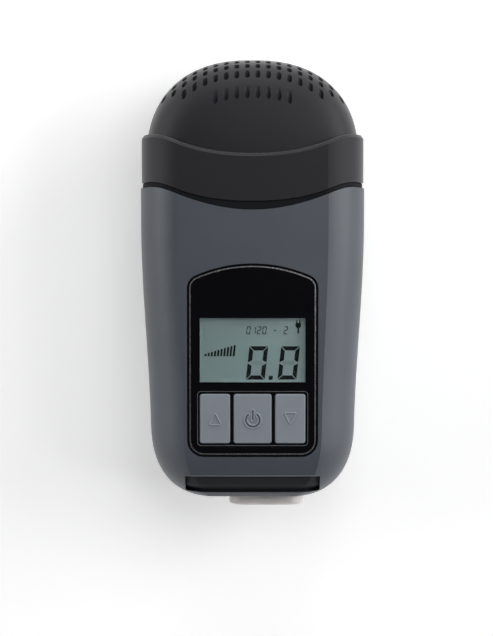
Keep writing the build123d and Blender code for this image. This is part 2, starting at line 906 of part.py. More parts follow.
for name, centre, width in zip(key_names, key_centres, key_widths):
    with BuildPart() as key:
        add(slab(key_bottom, key_depth, centre, key_y, width, key_length, key_corner))
        fillet(key.faces().sort_by(Axis.Z)[-1].edges(), key_edge)
        add(slab(flange_top - key_flange_thickness, key_flange_thickness, centre, key_y,
                 width + 2 * key_flange, key_length + 2 * key_catch, key_corner))
    save(key.part, name)

with BuildPart() as keypad_membrane:
    add(slab(board_top, membrane_thickness, 0, key_y, key_span + 2 * key_margin,
             key_length + 2 * key_margin, key_margin))
    with BuildSketch(Plane.XY.offset(membrane_top)):
        with Locations([(centre, key_y) for centre in key_centres]):
            Circle(membrane_dome_radius)
    extrude(amount=membrane_tip - membrane_top, taper=membrane_taper)
save(keypad_membrane.part, "keypad_membrane")


# ---------------------------------------------------------------- main board
board_y = y_tail + (board_low + board_high) / 2
board_length = board_high - board_low

with BuildPart() as main_board:
    add(slab(board_back, board_thickness, 0, board_y, board_width, board_length, board_corner))
    with BuildSketch(Plane.XY.offset(board_back)):
        with Locations(board_spots):
            Circle(board_screw_radius + fit)
    extrude(amount=board_thickness, mode=Mode.SUBTRACT)
save(main_board.part, "main_board")

for number, spot in enumerate(board_spots, 1):
    with BuildPart() as board_screw:
        with BuildSketch(Plane.XY.offset(board_back)):
            with Locations(spot):
                Circle(board_head_radius)
        extrude(amount=-board_head_height)
        with BuildSketch(Plane.XY.offset(board_back)):
            with Locations(spot):
                Circle(board_screw_radius)
        extrude(amount=board_screw_length)
    save(board_screw.part, f"board_screw_{number}")

save(slab(board_back - chip_height, chip_height, chip_x, board_y + chip_spacing,
          chip_size, chip_size), "processor_chip")
save(slab(board_back - chip_height, chip_height, chip_x, board_y,
          driver_size, driver_size), "motor_driver")

sensor_bottom = board_back - sensor_height
tap_top = sensor_bottom - nipple_length - tap_gap
tube_bottom = tap_top - tube_grip
with BuildPart() as pressure_sensor:
    add(slab(sensor_bottom, sensor_height, outlet_x, y_sensor, sensor_size, sensor_size))
    with BuildSketch(Plane.XY.offset(sensor_bottom)):
        with Locations((outlet_x, y_sensor)):
            Circle(nipple_radius)
    extrude(amount=-nipple_length)
save(pressure_sensor.part, "pressure_sensor")

with BuildPart() as sensor_tube:
    with BuildSketch(Plane.XY.offset(tube_bottom)):
        with Locations((outlet_x, y_sensor)):
            Circle(nipple_radius + tube_play + tube_wall)
            Circle(nipple_radius + tube_play, mode=Mode.SUBTRACT)
    extrude(amount=sensor_bottom - tube_bottom - tube_play)
save(sensor_tube.part, "sensor_tube")


# ---------------------------------------------------------------- air outlet
def tube_along_outlet(start, length, outer, inner=0.0):
    """Round tube on the outlet's axis, from start towards the filter cap."""
    plane = Plane((outlet_x, start, outlet_z), x_dir=(1, 0, 0), z_dir=(0, 1, 0))
    with BuildPart() as tube:
        with BuildSketch(plane):
            Circle(outer)
            if inner:
                Circle(inner, mode=Mode.SUBTRACT)
        extrude(amount=length)
    return tube.part


port_radius = outlet_radius + port_wall

with BuildPart() as outlet_port:
    with BuildSketch(Plane((outlet_x, 0, outlet_z))):
        with BuildLine():
            Polyline(
                (outlet_radius, y_port),
                (port_radius, y_port),
                (port_radius, y_cone),
                (duct_radius, y_spigot),
                (duct_radius, y_spigot + spigot_length),
                (duct_bore, y_spigot + spigot_length),
                (duct_bore, y_spigot),
                (outlet_radius, y_cone),
                close=True,
            )
        make_face()
    revolve(axis=Axis((outlet_x, 0, outlet_z), (0, 1, 0)))
save(outlet_port.part, "outlet_port")

with BuildPart() as outlet_seal:
    with BuildSketch(Plane((outlet_x, y_tail - seal_proud, outlet_z), x_dir=(1, 0, 0),
                           z_dir=(0, 1, 0))):
        RectangleRounded(seal_size, seal_size, seal_corner)
    extrude(amount=seal_length)
    fillet(outlet_seal.faces().sort_by(Axis.Y)[0].edges(), seal_edge)
    with BuildSketch(Plane((outlet_x, y_tail + wall + fit, outlet_z), x_dir=(1, 0, 0),
                           z_dir=(0, 1, 0))):
        RectangleRounded(seal_size + 2 * seal_lip, seal_size + 2 * seal_lip, seal_corner)
    extrude(amount=seal_lip)
    add(tube_along_outlet(y_tail - seal_proud, seal_length, outlet_radius + mouth_play),
        mode=Mode.SUBTRACT)
    add(tube_along_outlet(y_port, seal_length, port_radius), mode=Mode.SUBTRACT)
save(outlet_seal.part, "outlet_seal")

with BuildPart() as outlet_sleeve:
    add(tube_along_outlet(y_spigot + tube_play, y_spout - y_spigot + spigot_length,
                          duct_radius + sleeve_wall, duct_radius + tube_play))
save(outlet_sleeve.part, "outlet_sleeve")


# ---------------------------------------------------------------- blower
axis_spot = (blower_x, blower_y)


def disc(low, thickness, radius, bore=0.0):
    """Flat round piece on the blower's axis."""
    with BuildPart() as round_piece:
        with BuildSketch(Plane.XY.offset(low)):
            with Locations(axis_spot):
                Circle(radius)
                if bore:
                    Circle(bore, mode=Mode.SUBTRACT)
        extrude(amount=thickness)
    return round_piece.part


def blade_outline():
    """One backward-curved blade, about the middle of the impeller."""
    tip = Vector(impeller_radius, 0).rotate(Axis.Z, -blade_lag)
    with BuildSketch() as blade:
        with BuildLine():
            RadiusArc((blade_root, 0), (tip.X, tip.Y), blade_bow)
        trace(line_width=blade_thickness)
        Circle(impeller_radius, mode=Mode.INTERSECT)
    return blade.sketch


with BuildPart() as blower_volute:
    add(disc(z_volute, volute_depth, volute_radius))
    add(tube_along_outlet(y_spout, blower_y - y_spout, duct_radius))
    with BuildSketch(Plane.XY.offset(z_volute)):
        for spot in ear_spots:
            with BuildLine():
                Line(axis_spot, spot)
            trace(line_width=2 * ear_radius)
        with Locations(ear_spots):
            Circle(ear_radius)
    extrude(amount=ear_thickness)
    with BuildSketch(Plane.XY.offset(outlet_z + duct_bore)):
        with Locations((outlet_x, y_sensor)):
            Circle(nipple_radius)
    extrude(amount=tap_top - outlet_z - duct_bore)
    add(disc(z_volute_floor, volute_depth, volute_radius - volute_wall), mode=Mode.SUBTRACT)
    add(tube_along_outlet(y_spout, blower_y - y_spout, duct_bore), mode=Mode.SUBTRACT)
    add(disc(z_bearing_high, bearing_height, bearing_radius + motor_wall))
    add(disc(z_bearing_high, bearing_height, bearing_radius), mode=Mode.SUBTRACT)
    with BuildSketch(Plane.XY.offset(z_volute)):
        with Locations(ear_spots):
            Circle(bush_neck)
    extrude(amount=ear_thickness, mode=Mode.SUBTRACT)
save(blower_volute.part, "blower_volute")

save(disc(z_cover, cover_thickness, volute_radius, eye_radius), "blower_cover")
save(disc(z_bearing_low, bearing_height, bearing_radius, shaft_radius + shaft_play), "bearing_low")
save(disc(z_bearing_high, bearing_height, bearing_radius, shaft_radius + shaft_play),
     "bearing_high")

with BuildPart() as motor_housing:
    add(disc(z_motor, z_volute - z_motor, motor_radius))
    add(disc(z_bearing_low, z_volute, motor_radius - motor_wall), mode=Mode.SUBTRACT)
    add(disc(z_bearing_low, bearing_height, bearing_radius + motor_wall, bearing_radius))
save(motor_housing.part, "motor_housing")

# Rotor: shaft, magnet and impeller
shaft_low = z_bearing_low + shaft_play
with BuildPart() as motor_shaft:
    add(disc(shaft_low, z_impeller + hub_depth - shaft_low, shaft_radius))
save(motor_shaft.part, "motor_shaft")

save(disc(z_rotor - stator_height / 2, stator_height, magnet_radius, shaft_radius), "rotor_magnet")

with BuildPart() as impeller:
    add(disc(z_impeller, impeller_plate, impeller_radius, shaft_radius))
    add(disc(z_impeller, hub_depth, hub_radius, shaft_radius))
    with BuildSketch(Plane.XY.offset(z_impeller + impeller_plate)):
        with Locations(axis_spot):
            with PolarLocations(0, blade_count):
                add(blade_outline())
    extrude(amount=impeller_depth - impeller_plate)
save(impeller.part, "impeller")


# Stator: iron ring with teeth, and a coil on each tooth
stator_outer = motor_radius - motor_wall
tooth_length = stator_outer - stator_yoke - stator_inner
tooth_middle = stator_inner + tooth_length / 2

with BuildPart() as stator_core:
    with BuildSketch(Plane.XY.offset(z_rotor - stator_height / 2)):
        with Locations(axis_spot):
            Circle(stator_outer)
            Circle(stator_outer - stator_yoke, mode=Mode.SUBTRACT)
            with PolarLocations(tooth_middle, stator_teeth):
                Rectangle(tooth_length + stator_yoke / 2, tooth_width)
            Circle(stator_inner, mode=Mode.SUBTRACT)
    extrude(amount=stator_height)
save(stator_core.part, "stator_core")

with BuildPart() as stator_coils:
    with BuildSketch(Plane.XY.offset(z_rotor - coil_height / 2)):
        with Locations(axis_spot):
            with PolarLocations(tooth_middle, stator_teeth):
                Rectangle(tooth_length - 2 * coil_gap, coil_width)
    extrude(amount=coil_height)
    with BuildSketch(Plane.XY.offset(z_rotor - stator_height / 2)):
        with Locations(axis_spot):
            with PolarLocations(tooth_middle, stator_teeth):
                Rectangle(tooth_length, tooth_width)
    extrude(amount=stator_height, mode=Mode.SUBTRACT)
save(stator_coils.part, "stator_coils")

for number, spot in enumerate(ear_spots, 1):
    with BuildPart() as bush:
        for low, thickness, radius in (
            (z_bush, bush_foot, bush_radius),
            (z_volute, ear_thickness, bush_neck),
            (z_volute + ear_thickness, bush_cap, bush_radius),
        ):
            with BuildSketch(Plane.XY.offset(low)):
                with Locations(spot):
                    Circle(radius)
            extrude(amount=thickness)
        with BuildSketch(Plane.XY.offset(z_bush)):
            with Locations(spot):
                Circle(mount_screw_radius + shaft_play)
        extrude(amount=bush_height, mode=Mode.SUBTRACT)
    save(bush.part, f"blower_bush_{number}")

    with BuildPart() as mount_screw:
        with BuildSketch(Plane.XY.offset(z_bush - mount_screw_bite)):
            with Locations(spot):
                Circle(mount_screw_radius)
        extrude(amount=mount_screw_bite + bush_height)
        with BuildSketch(Plane.XY.offset(z_bush + bush_height)):
            with Locations(spot):
                Circle(mount_head_radius)
        extrude(amount=mount_head_height)
    save(mount_screw.part, f"blower_screw_{number}")

foam_high = bulkhead_low - foam_gap
foam_low = foam_high - foam_thickness
foam_y = y_tail + (foam_low + foam_high) / 2
foam_width = 2 * (top_screw_half_spacing - case_column_radius - foam_side_gap)
foam_bottom = z_inside + foot_sink + foam_play
foam_top = board_back - board_head_height - foam_play
with BuildPart() as muffler_foam:
    add(slab(foam_bottom, foam_top - foam_bottom, 0, foam_y, foam_width, foam_thickness))
    with BuildSketch(level(foam_low)):
        Circle(foam_channel)
    extrude(amount=-foam_thickness, mode=Mode.SUBTRACT)
save(muffler_foam.part, "muffler_foam")


# ---------------------------------------------------------------- power inlet
board_end = y_tail + wall + power_board_gap
with BuildPart() as power_board:
    add(slab(power_board_z, board_thickness, socket_x, board_end + power_board_length / 2,
             power_board_width, power_board_length))
    with BuildSketch(Plane.XY.offset(power_board_z)):
        with Locations(post_spots):
            Circle(stake_radius + shaft_play)
    extrude(amount=board_thickness, mode=Mode.SUBTRACT)
save(power_board.part, "power_board")

socket_face = y_tail + socket_recess
jack_plane = Plane((socket_x, socket_face, jack_z), x_dir=(1, 0, 0), z_dir=(0, 1, 0))
with BuildPart() as dc_jack:
    add(slab(z_power_top, jack_size, socket_x, y_socket + jack_length / 2, jack_size, jack_length))
    with BuildSketch(jack_plane):
        Circle(jack_barrel)
    extrude(amount=y_socket - socket_face)
    with BuildSketch(jack_plane):
        Circle(jack_bore)
    extrude(amount=jack_bore_depth, mode=Mode.SUBTRACT)
save(dc_jack.part, "dc_jack")

with BuildPart() as dc_pin:
    with BuildSketch(jack_plane.offset(jack_pin_recess)):
        Circle(jack_pin)
    extrude(amount=jack_bore_depth - jack_pin_recess)
save(dc_pin.part, "dc_pin")

usb_plane = Plane((socket_x, socket_face, usb_z), x_dir=(1, 0, 0), z_dir=(0, -1, 0))
with BuildPart() as usb_socket:
    with BuildSketch(usb_plane):
        RectangleRounded(usb_width, usb_thickness, usb_shell)
    extrude(amount=-usb_length)
    with BuildSketch(usb_plane):
        RectangleRounded(usb_width - 2 * usb_shell, usb_thickness - 2 * usb_shell, usb_shell / 2)
    extrude(amount=usb_shell - usb_length, mode=Mode.SUBTRACT)
    with BuildSketch(usb_plane):
        Rectangle(usb_tongue_width, usb_tongue)
    extrude(amount=-usb_length)
save(usb_socket.part, "usb_socket")
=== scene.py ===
"""Looks of a handheld sleep-therapy blower: finishes, fine raised details, display content, the
cap's vented dome, light and camera.

Metres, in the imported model's frame: X runs across the display, Y from the air outlet to the filter
cap, and Z out of the display.  The machine lies on its back on a pale floor.
"""
import math

import bmesh
import bpy
from mathutils import Matrix, Vector

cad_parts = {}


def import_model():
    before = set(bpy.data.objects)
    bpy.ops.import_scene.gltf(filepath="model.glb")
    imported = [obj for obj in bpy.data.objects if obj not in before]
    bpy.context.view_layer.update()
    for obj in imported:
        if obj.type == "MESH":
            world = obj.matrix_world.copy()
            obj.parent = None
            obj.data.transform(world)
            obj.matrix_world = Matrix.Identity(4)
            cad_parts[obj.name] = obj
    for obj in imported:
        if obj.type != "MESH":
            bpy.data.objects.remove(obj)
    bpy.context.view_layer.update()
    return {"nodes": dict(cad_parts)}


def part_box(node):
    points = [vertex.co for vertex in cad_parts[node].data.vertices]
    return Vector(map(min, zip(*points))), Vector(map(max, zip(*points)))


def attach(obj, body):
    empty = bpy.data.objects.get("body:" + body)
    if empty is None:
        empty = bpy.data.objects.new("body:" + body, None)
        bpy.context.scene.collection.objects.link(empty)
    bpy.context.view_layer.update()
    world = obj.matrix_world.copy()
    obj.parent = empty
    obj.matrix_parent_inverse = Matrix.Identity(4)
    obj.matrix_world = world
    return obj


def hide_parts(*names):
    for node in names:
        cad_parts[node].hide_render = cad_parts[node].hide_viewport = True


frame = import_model()
nodes = frame["nodes"]
mm = 0.001


# ---------------------------------------------------------------- shader helpers
def screen(red, green, blue):
    """Shader colour for the three 0-255 values that a screen shows."""
    def linear(value):
        share = value / 255
        return share / 12.92 if share < 0.04045 else ((share + 0.055) / 1.055) ** 2.4

    return (linear(red), linear(green), linear(blue), 1.0)


def shade(colour, factor):
    """The same colour, darker or lighter."""
    return tuple(min(1.0, value * factor) for value in colour[:3]) + (1.0,)


def set_inputs(tree, node, inputs):
    """Give a node's sockets numbers, colours or other nodes' outputs."""
    for name, value in inputs.items():
        if isinstance(value, bpy.types.NodeSocket):
            tree.links.new(value, node.inputs[name])
        else:
            node.inputs[name].default_value = value


def add_node(tree, kind, inputs=None, **settings):
    """New shader node with its settings and its sockets' values."""
    node = tree.nodes.new(kind)
    for name, value in settings.items():
        setattr(node, name, value)
    set_inputs(tree, node, inputs or {})
    return node


def new_material(name):
    """New material with its tree, its main shader and the object's coordinates."""
    material = bpy.data.materials.new(name)
    material.use_nodes = True
    tree = material.node_tree
    place = add_node(tree, "ShaderNodeTexCoord").outputs["Object"]
    return material, tree, tree.nodes["Principled BSDF"], place


def noise(tree, place, size, detail=2.0, stretch=(1.0, 1.0, 1.0)):
    """Noise whose features are about size metres across, drawn out along the axes by stretch."""
    mapped = add_node(tree, "ShaderNodeMapping", {
        "Vector": place, "Scale": [1 / factor for factor in stretch],
    })
    return add_node(tree, "ShaderNodeTexNoise", {
        "Vector": mapped.outputs["Vector"], "Scale": 1 / size, "Detail": detail,
    }).outputs["Fac"]


def ramp(tree, factor, stops):
    """Colour that runs through the stops, each a place from 0 to 1 and a colour."""
    node = add_node(tree, "ShaderNodeValToRGB", {"Fac": factor})
    node.color_ramp.elements[0].position, node.color_ramp.elements[0].color = stops[0]
    node.color_ramp.elements[1].position, node.color_ramp.elements[1].color = stops[-1]
    for position, colour in stops[1:-1]:
        node.color_ramp.elements.new(position).color = colour
    return node.outputs["Color"]


def spread(tree, factor, low, high, start=0.3, end=0.7):
    """A number that runs from low to high as factor runs from start to end."""
    return add_node(tree, "ShaderNodeMapRange", {
        "Value": factor, "From Min": start, "From Max": end, "To Min": low, "To Max": high,
    }).outputs["Result"]


def relief(tree, height, depth):
    """Bumped normal for a height from 0 to 1 that stands depth metres high."""
    return add_node(tree, "ShaderNodeBump", {
        "Height": height, "Distance": depth, "Strength": 1.0,
    }).outputs["Normal"]


def mix_shaders(tree, factor, first, second):
    """Shader that is first where factor is 0 and second where it is 1."""
    return add_node(tree, "ShaderNodeMixShader", {
        "Fac": factor, 1: first, 2: second,
    }).outputs["Shader"]


def show(tree, shader):
    """Make a shader the material's surface."""
    tree.links.new(shader, tree.nodes["Material Output"].inputs["Surface"])


# ---------------------------------------------------------------- finishes
def moulded(name, colour, roughness, grain=0.35 * mm, depth=0.012 * mm, mottle=0.05,
            gloss_spread=0.04, metallic=0.0, specular=0.5, sheen=0.0):
    """Moulded, cast or ground surface: fine grain, and slow changes of colour."""
    material, tree, shader, place = new_material(name)
    slow = noise(tree, place, 22 * mm, detail=3.0)
    fine = noise(tree, place, grain)
    darker, lighter = shade(colour, 1 - mottle), shade(colour, 1 + mottle)
    set_inputs(tree, shader, {
        "Base Color": ramp(tree, slow, ((0.3, darker), (0.7, lighter))),
        "Roughness": spread(tree, fine, roughness - gloss_spread, roughness + gloss_spread),
        "Normal": relief(tree, fine, depth),
        "Metallic": metallic,
        "Specular IOR Level": specular,
        "Sheen Weight": sheen,
        "Sheen Roughness": 0.45,
    })
    return material


def brushed(name, colour, roughness, along=(1.0, 30.0, 1.0)):
    """Metal with fine lines along one axis."""
    material, tree, shader, place = new_material(name)
    lines = noise(tree, place, 0.08 * mm, stretch=along)
    set_inputs(tree, shader, {
        "Base Color": ramp(tree, lines, ((0.35, shade(colour, 0.9)), (0.65, shade(colour, 1.08)))),
        "Roughness": spread(tree, lines, roughness - 0.06, roughness + 0.06),
        "Normal": relief(tree, lines, 0.004 * mm),
        "Metallic": 1.0,
    })
    return material


def foam(name, colour, pore):
    """Open-cell foam: pale struts, with the pores between them darkened as painted shade."""
    material, tree, shader, place = new_material(name)
    cells = add_node(tree, "ShaderNodeTexVoronoi", {"Vector": place, "Scale": 1 / pore},
                     feature="DISTANCE_TO_EDGE").outputs["Distance"]
    # darker away from the struts: painted shade in the pores
    stops = ((0.0, colour), (0.25, shade(colour, 0.55)), (0.5, shade(colour, 0.35)))
    set_inputs(tree, shader, {
        "Base Color": ramp(tree, cells, stops),
        "Normal": relief(tree, cells, -0.25 * mm),
        "Roughness": 0.95,
        "Specular IOR Level": 0.15,
    })
    return material


def silicone(name, colour, roughness, reach):
    """Translucent rubber through which light spreads about as far as reach."""
    material = moulded(name, colour, roughness, grain=0.5 * mm, depth=0.01 * mm, mottle=0.03)
    tree = material.node_tree
    set_inputs(tree, tree.nodes["Principled BSDF"], {
        "Subsurface Weight": 0.85,
        "Subsurface Radius": (1.0, 0.8, 0.75),
        "Subsurface Scale": reach,
    })
    return material


def clear_lens(name):
    """Clear acrylic that lets the lamps through to what lies under it."""
    material, tree, shader, place = new_material(name)
    smears = noise(tree, place, 9 * mm, detail=4.0)
    set_inputs(tree, shader, {
        "Base Color": screen(246, 250, 250),
        "Roughness": spread(tree, smears, 0.03, 0.07),
        "Transmission Weight": 1.0,
        "IOR": 1.46,
    })
    lamp_ray = add_node(tree, "ShaderNodeLightPath").outputs["Is Shadow Ray"]
    open_way = add_node(tree, "ShaderNodeBsdfTransparent", {"Color": screen(240, 245, 245)})
    show(tree, mix_shaders(tree, lamp_ray, shader.outputs["BSDF"], open_way.outputs["BSDF"]))
    return material


def display_glass(name):
    """Grey-green reflective display, a little paler towards its right, with a fine dot grid."""
    low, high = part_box("lcd_glass")
    material, tree, shader, place = new_material(name)
    across = add_node(tree, "ShaderNodeSeparateXYZ", {"Vector": place}).outputs["X"]
    slope = spread(tree, across, 0.0, 1.0, start=low.x, end=high.x)
    haze = spread(tree, noise(tree, place, 16 * mm), -0.25, 0.25)
    level = add_node(tree, "ShaderNodeMath", {0: slope, 1: haze}, operation="ADD").outputs["Value"]
    stops = ((0.0, screen(104, 117, 117)), (0.5, screen(108, 121, 122)),
             (1.0, screen(118, 130, 131)))
    dots = add_node(tree, "ShaderNodeTexVoronoi", {
        "Vector": place, "Scale": 1 / (0.25 * mm), "Randomness": 0.0,
    }).outputs["Distance"]
    set_inputs(tree, shader, {
        "Base Color": ramp(tree, level, stops),
        "Normal": relief(tree, dots, 0.002 * mm),
        "Roughness": 0.5,
    })
    return material


def circuit_board(name):
    """Green solder mask over fine copper tracks."""
    material, tree, shader, place = new_material(name)
    tracks = add_node(tree, "ShaderNodeTexBrick", {
        "Vector": place, "Scale": 1 / (9 * mm), "Mortar Size": 0.03,
        "Color1": screen(22, 84, 52), "Color2": screen(18, 74, 46), "Mortar": screen(46, 118, 74),
    })
    set_inputs(tree, shader, {
        "Base Color": tracks.outputs["Color"],
        "Normal": relief(tree, tracks.outputs["Fac"], 0.03 * mm),
        "Roughness": 0.35,
    })
    return material


def layered(name, pitch, distortion, low, high, depth, metallic, roughness):
    """Metal in thin layers along Z, from the low colour between them to the high one on them."""
    material, tree, shader, place = new_material(name)
    layers = add_node(tree, "ShaderNodeTexWave", {
        "Vector": place, "Scale": 1 / pitch, "Distortion": distortion,
    }, bands_direction="Z").outputs["Fac"]
    set_inputs(tree, shader, {
        "Base Color": ramp(tree, layers, ((0.0, low), (1.0, high))),
        "Normal": relief(tree, layers, depth),
        "Metallic": metallic,
        "Roughness": roughness,
    })
    return material


def windings(name):
    """Enamelled copper wire, wound in fine turns, darker between the turns as painted shade."""
    # the low colour between the turns is painted shade
    return layered(name, pitch=0.9 * mm, distortion=0.4, low=screen(120, 58, 30),
                   high=screen(196, 112, 66), depth=0.1 * mm, metallic=1.0, roughness=0.35)


def laminations(name):
    """Stack of thin iron sheets, seen at its edge."""
    return layered(name, pitch=1.1 * mm, distortion=0.1, low=screen(70, 70, 74),
                   high=screen(128, 128, 132), depth=0.05 * mm, metallic=0.8, roughness=0.45)


def slot_of(material):
    """Name that a material was made under, without the number that Blender may add."""
    return material.name.split(".")[0]


finishes = {slot_of(material): material for material in (
    moulded("shell_grey", screen(69, 74, 82), 0.42, depth=0.01 * mm),
    moulded("cap_charcoal", screen(27, 26, 31), 0.5, depth=0.01 * mm, specular=0.2, sheen=0.3),
    moulded("neck_black", screen(12, 14, 18), 0.7, specular=0.15),
    moulded("panel_black", screen(5, 5, 8), 0.1, grain=4 * mm, depth=0.002 * mm, gloss_spread=0.03),
    brushed("trim_silver", screen(205, 205, 210), 0.25),
    clear_lens("lens_clear"),
    display_glass("lcd"),
    moulded("lcd_frame", screen(205, 205, 200), 0.6),
    moulded("key_grey", screen(130, 136, 145), 0.45, depth=0.008 * mm, mottle=0.03),
    silicone("membrane", screen(58, 58, 62), 0.6, 1.5 * mm),
    moulded("latch_dark", screen(30, 33, 36), 0.6, depth=0.02 * mm, specular=0.2),
    circuit_board("board_green"),
    moulded("chip_black", screen(26, 26, 28), 0.55, grain=0.12 * mm),
    brushed("screw_steel", screen(170, 170, 172), 0.32, along=(6.0, 6.0, 1.0)),
    silicone("seal_silicone", screen(246, 234, 232), 0.3, 8 * mm),
    moulded("gasket_black", screen(16, 16, 17), 0.6, grain=0.25 * mm),
    moulded("port_grey", screen(88, 90, 94), 0.4),
    moulded("blower_plastic", screen(38, 40, 44), 0.4, depth=0.02 * mm),
    brushed("steel", screen(180, 180, 184), 0.2, along=(1.0, 1.0, 20.0)),
    moulded("magnet", screen(74, 74, 78), 0.3, metallic=0.9),
    laminations("core_iron"),
    windings("copper"),
    foam("foam_grey", screen(120, 120, 122), 0.9 * mm),
    foam("filter_white", screen(214, 214, 210), 0.7 * mm),
    moulded("foot_rubber", screen(30, 30, 32), 0.75, grain=0.3 * mm, depth=0.03 * mm, specular=0.3),
    moulded("socket_black", screen(22, 22, 24), 0.4),
    brushed("socket_metal", screen(186, 184, 178), 0.28),
)}

for node in nodes.values():
    for holder in node.material_slots:
        holder.material = finishes[slot_of(holder.material)]


# ---------------------------------------------------------------- geometry helpers
corner_steps = 5
bead_sides = 10


def link(name, data):
    """New object in the scene."""
    made = bpy.data.objects.new(name, data)
    bpy.context.scene.collection.objects.link(made)
    return made


def mesh_object(name, mesh):
    """New object made from a bmesh, which it uses up."""
    data = bpy.data.meshes.new(name)
    mesh.to_mesh(data)
    mesh.free()
    return link(name, data)


def new_piece(name, mesh, finish, body):
    """Object made from a bmesh, with its finish, riding on its body."""
    piece = mesh_object(name, mesh)
    piece.data.materials.append(finish)
    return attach(piece, body)


def prism(mesh, base, rise):
    """Add a closed prism from the points of its base and the way to its top."""
    face = mesh.faces.new([mesh.verts.new(point) for point in base])
    grown = bmesh.ops.extrude_face_region(mesh, geom=[face])["geom"]
    top = [item for item in grown if isinstance(item, bmesh.types.BMVert)]
    bmesh.ops.translate(mesh, verts=top, vec=rise)


def plates(name, outlines, low, thickness, finish, body):
    """Flat piece with one prism for each closed outline."""
    mesh = bmesh.new()
    for outline in outlines:
        prism(mesh, [(x, y, low) for x, y in outline], (0, 0, thickness))
    bmesh.ops.recalc_face_normals(mesh, faces=mesh.faces)
    return new_piece(name, mesh, finish, body)


def tube(mesh, path, height, radius):
    """Add a round tube along a closed path at one height."""
    rings = []
    for number, here in enumerate(path):
        along = Vector(path[(number + 1) % len(path)]) - Vector(path[number - 1])
        across = Vector((along.y, -along.x)).normalized()
        ring = []
        for step in range(bead_sides):
            turn = 2 * math.pi * step / bead_sides
            point = Vector(here) + across * radius * math.cos(turn)
            ring.append(mesh.verts.new((point.x, point.y, height + radius * math.sin(turn))))
        rings.append(ring)
    for number, two in enumerate(rings):
        one = rings[number - 1]
        for step in range(bead_sides):
            mesh.faces.new((one[step - 1], one[step], two[step], two[step - 1]))


def beads(name, paths, height, radius, finish, body):
    """Rounded raised lines along closed paths at one height."""
    mesh = bmesh.new()
    for path in paths:
        tube(mesh, path, height, radius)
    for face in mesh.faces:
        face.smooth = True
    bmesh.ops.recalc_face_normals(mesh, faces=mesh.faces)
    return new_piece(name, mesh, finish, body)


def arc(centre, radius, start, end, steps):
    """Points along an arc; angles in degrees, counted from +X."""
    points = []
    for step in range(steps + 1):
        turn = math.radians(start + (end - start) * step / steps)
        points.append((centre[0] + radius * math.cos(turn), centre[1] + radius * math.sin(turn)))
    return points


def rounded_polygon(corners, radius):
    """Closed outline with the corners of a polygon, which runs anticlockwise, rounded off."""
    points = []
    for number, corner in enumerate(corners):
        here = Vector(corner)
        back = (Vector(corners[number - 1]) - here).normalized()
        on = (Vector(corners[(number + 1) % len(corners)]) - here).normalized()
        half = back.angle(on) / 2
        centre = here + (back + on).normalized() * radius / math.sin(half)
        start = here + back * radius / math.tan(half)
        end = here + on * radius / math.tan(half)
        first = math.degrees(math.atan2(start.y - centre.y, start.x - centre.x))
        last = math.degrees(math.atan2(end.y - centre.y, end.x - centre.x))
        if last < first:
            last += 360
        points += arc(centre, radius, first, last, corner_steps)
    return points


def rectangle(left, low, right, high):
    """Closed outline, which runs anticlockwise."""
    return [(left, low), (right, low), (right, high), (left, high)]


# ---------------------------------------------------------------- key symbols
symbol_line = 0.3 * mm          # radius of the raised lines
triangle_size = 4.5 * mm
triangle_corner = 0.4 * mm
ring_radius = 2.5 * mm          # middle of the power symbol's stroke
ring_drop = 0.5 * mm            # its centre below the key's
ring_steps = 48
stroke = 1.15 * mm              # between the two lines that outline it
groove = 0.34 * mm              # width of the dark line between them, a painted groove shade
groove_height = 0.02 * mm
gap_angle = 30.0                # half the ring's opening, in degrees
bar_low = -0.3 * mm             # from the ring's centre
bar_high = 3.9 * mm
bar_roundness = 0.47            # its corner's radius as a share of its width
# darker grey for the line along the power symbol's stroke: painted shade of a groove
painted_groove_shade = moulded("painted_groove_shade", screen(62, 66, 72), 0.6)


def key_top(name):
    """Middle of a key's top face and its height."""
    low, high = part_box(name)
    return (low.x + high.x) / 2, (low.y + high.y) / 2, high.z


def triangle(name, way):
    """Raised triangle on a key, pointing along +Y for way 1 and along -Y for way -1."""
    x, y, top = key_top(name)
    half = triangle_size / 2
    corners = [(x - half * way, y - half * way), (x + half * way, y - half * way),
               (x, y + half * way)]
    path = rounded_polygon(corners, triangle_corner)
    symbol = beads(f"{name}_symbol", [path], top, symbol_line, finishes["key_grey"], name)


def power_outlines(middle, width, inset):
    """Outlines of an open ring and of the bar in its opening, both so wide."""
    start = 90 + gap_angle
    end = 450 - gap_angle
    outer = arc(middle, ring_radius + width / 2, start, end, ring_steps)
    inner = arc(middle, ring_radius - width / 2, end, start, ring_steps)
    bar = rectangle(middle[0] - width / 2, middle[1] + bar_low + inset,
                    middle[0] + width / 2, middle[1] + bar_high - inset)
    return outer + inner, rounded_polygon(bar, width * bar_roundness)


def power_symbol(name):
    """Raised outlines of an open ring and of a bar, with a dark line along each that is painted
    shade of a groove.
    """
    x, y, top = key_top(name)
    middle = (x, y - ring_drop)
    symbol = beads(f"{name}_symbol", power_outlines(middle, stroke, 0.0), top, symbol_line,
                   finishes["key_grey"], name)
    # flat dark plates: painted shade where a groove would lie
    lines = plates(f"{name}_groove_shades", power_outlines(middle, groove, (stroke - groove) / 2), top,
                   groove_height, painted_groove_shade, name)


triangle("up_key", 1)
triangle("down_key", -1)
power_symbol("power_key")


# ---------------------------------------------------------------- keypad lip
lip_side = 0.45 * mm            # outside the flanges at the keys' sides
lip_end = 0.85 * mm             # inside the catches at their ends
lip_corner = 1.3 * mm
lip_line = 0.15 * mm
lip_drop = 0.65 * mm            # below the keys' tops, on the floor of their tray
# lighter grey for the keypad lip and the slot edge: a painted highlight where their rounded edges
# would catch the lamps
painted_highlight_grey = moulded("painted_highlight_grey", screen(84, 86, 90), 0.35)


